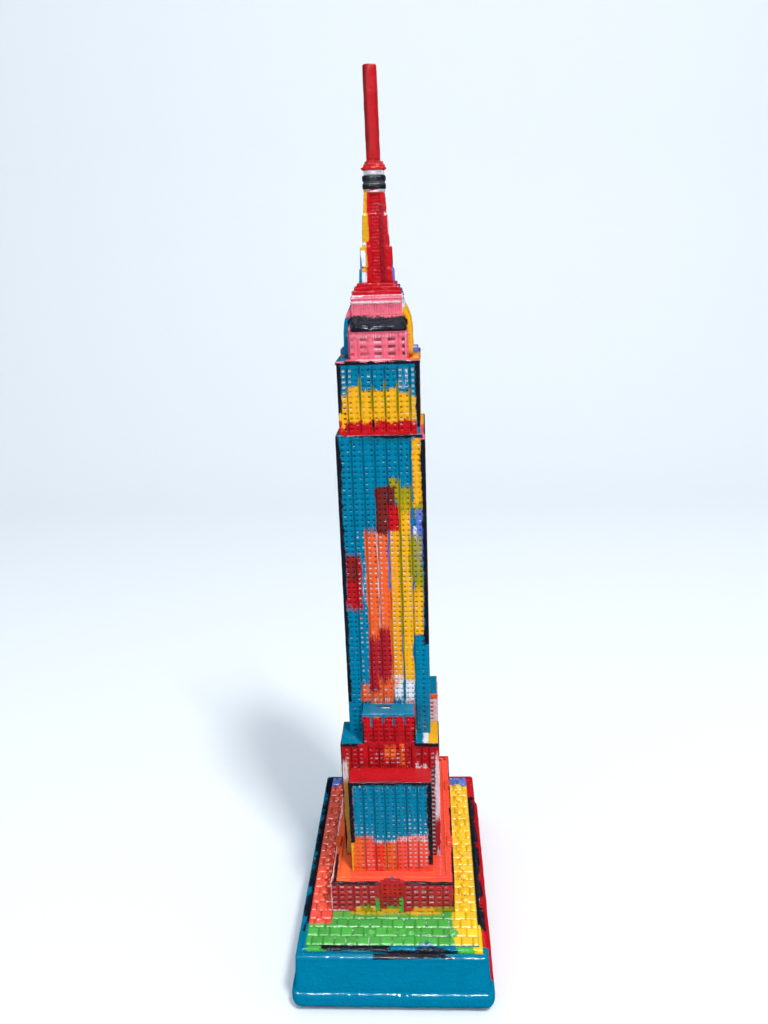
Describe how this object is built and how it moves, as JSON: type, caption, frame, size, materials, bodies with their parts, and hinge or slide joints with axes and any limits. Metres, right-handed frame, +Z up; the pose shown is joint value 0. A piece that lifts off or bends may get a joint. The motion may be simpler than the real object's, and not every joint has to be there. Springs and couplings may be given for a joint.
{
  "type": "miniature landmark model",
  "caption": "Hand-painted miniature of a stepped skyscraper with mast and spire on a moulded rectangular plinth, a free-standing desk souvenir.",
  "frame": {"origin": "middle of the plinth's footprint, on the table, under the felt pad", "axes": "+Z up along the spire, -Y towards the front with the entrance and the deep pavement apron, +X to the right seen from the front; the tower's axis stands 8.6 mm behind the origin"},
  "size_m": [0.088, 0.1368, 0.383],
  "materials": {
    "pad": "black felt",
    "plate": "grey painted sheet steel",
    "hardware": "zinc plated",
    "plinth": "teal gloss acrylic brushed over primed cast resin",
    "pavement": "green, yellow and coral gloss acrylic over cast resin",
    "trees": "yellow and green gloss acrylic over cast resin",
    "podium": "dark red gloss acrylic over cast resin",
    "pavilions": "coral gloss acrylic over cast resin",
    "lower_tower": "teal over orange gloss acrylic on cast resin",
    "shoulders": "red gloss acrylic over cast resin",
    "shaft": "teal, yellow, orange and red gloss acrylic over cast resin",
    "upper_tier": "teal, yellow and red gloss acrylic over cast resin",
    "crown": "pink gloss acrylic over cast resin",
    "fins": "yellow and teal gloss acrylic over cast resin",
    "hood": "black gloss acrylic",
    "mast": "red gloss acrylic, thick brush marks",
    "discs": "bare white primer"
  },
  "bodies": {
    "root": {"base_pad": "pad", "base_plate": "plate", "plate_screws": "hardware", "plinth": "plinth", "ballast": "plate", "rod_washer": "hardware", "rod_nut": "hardware", "tie_rod": "hardware", "pavement": "pavement", "street_trees": "trees", "podium": "podium", "entrance_portal": "podium", "side_pavilions": "pavilions", "lower_tower": "lower_tower", "shoulder_tier": "shoulders", "setback_bays": "shoulders", "shaft": "shaft", "upper_tier": "upper_tier", "crown_body": "crown", "crown_fins": "fins", "deck_hood": "hood", "crown_cap": "crown", "mast_base": "mast", "mast_core": "mast", "mast_wings": "mast", "mast_plate": "discs", "ring_pair": "hood", "ring_spacer": "hardware", "ring_cover": "discs", "collar": "mast", "spire": "mast", "dowels": "hardware"}
  },
  "joints": []
}
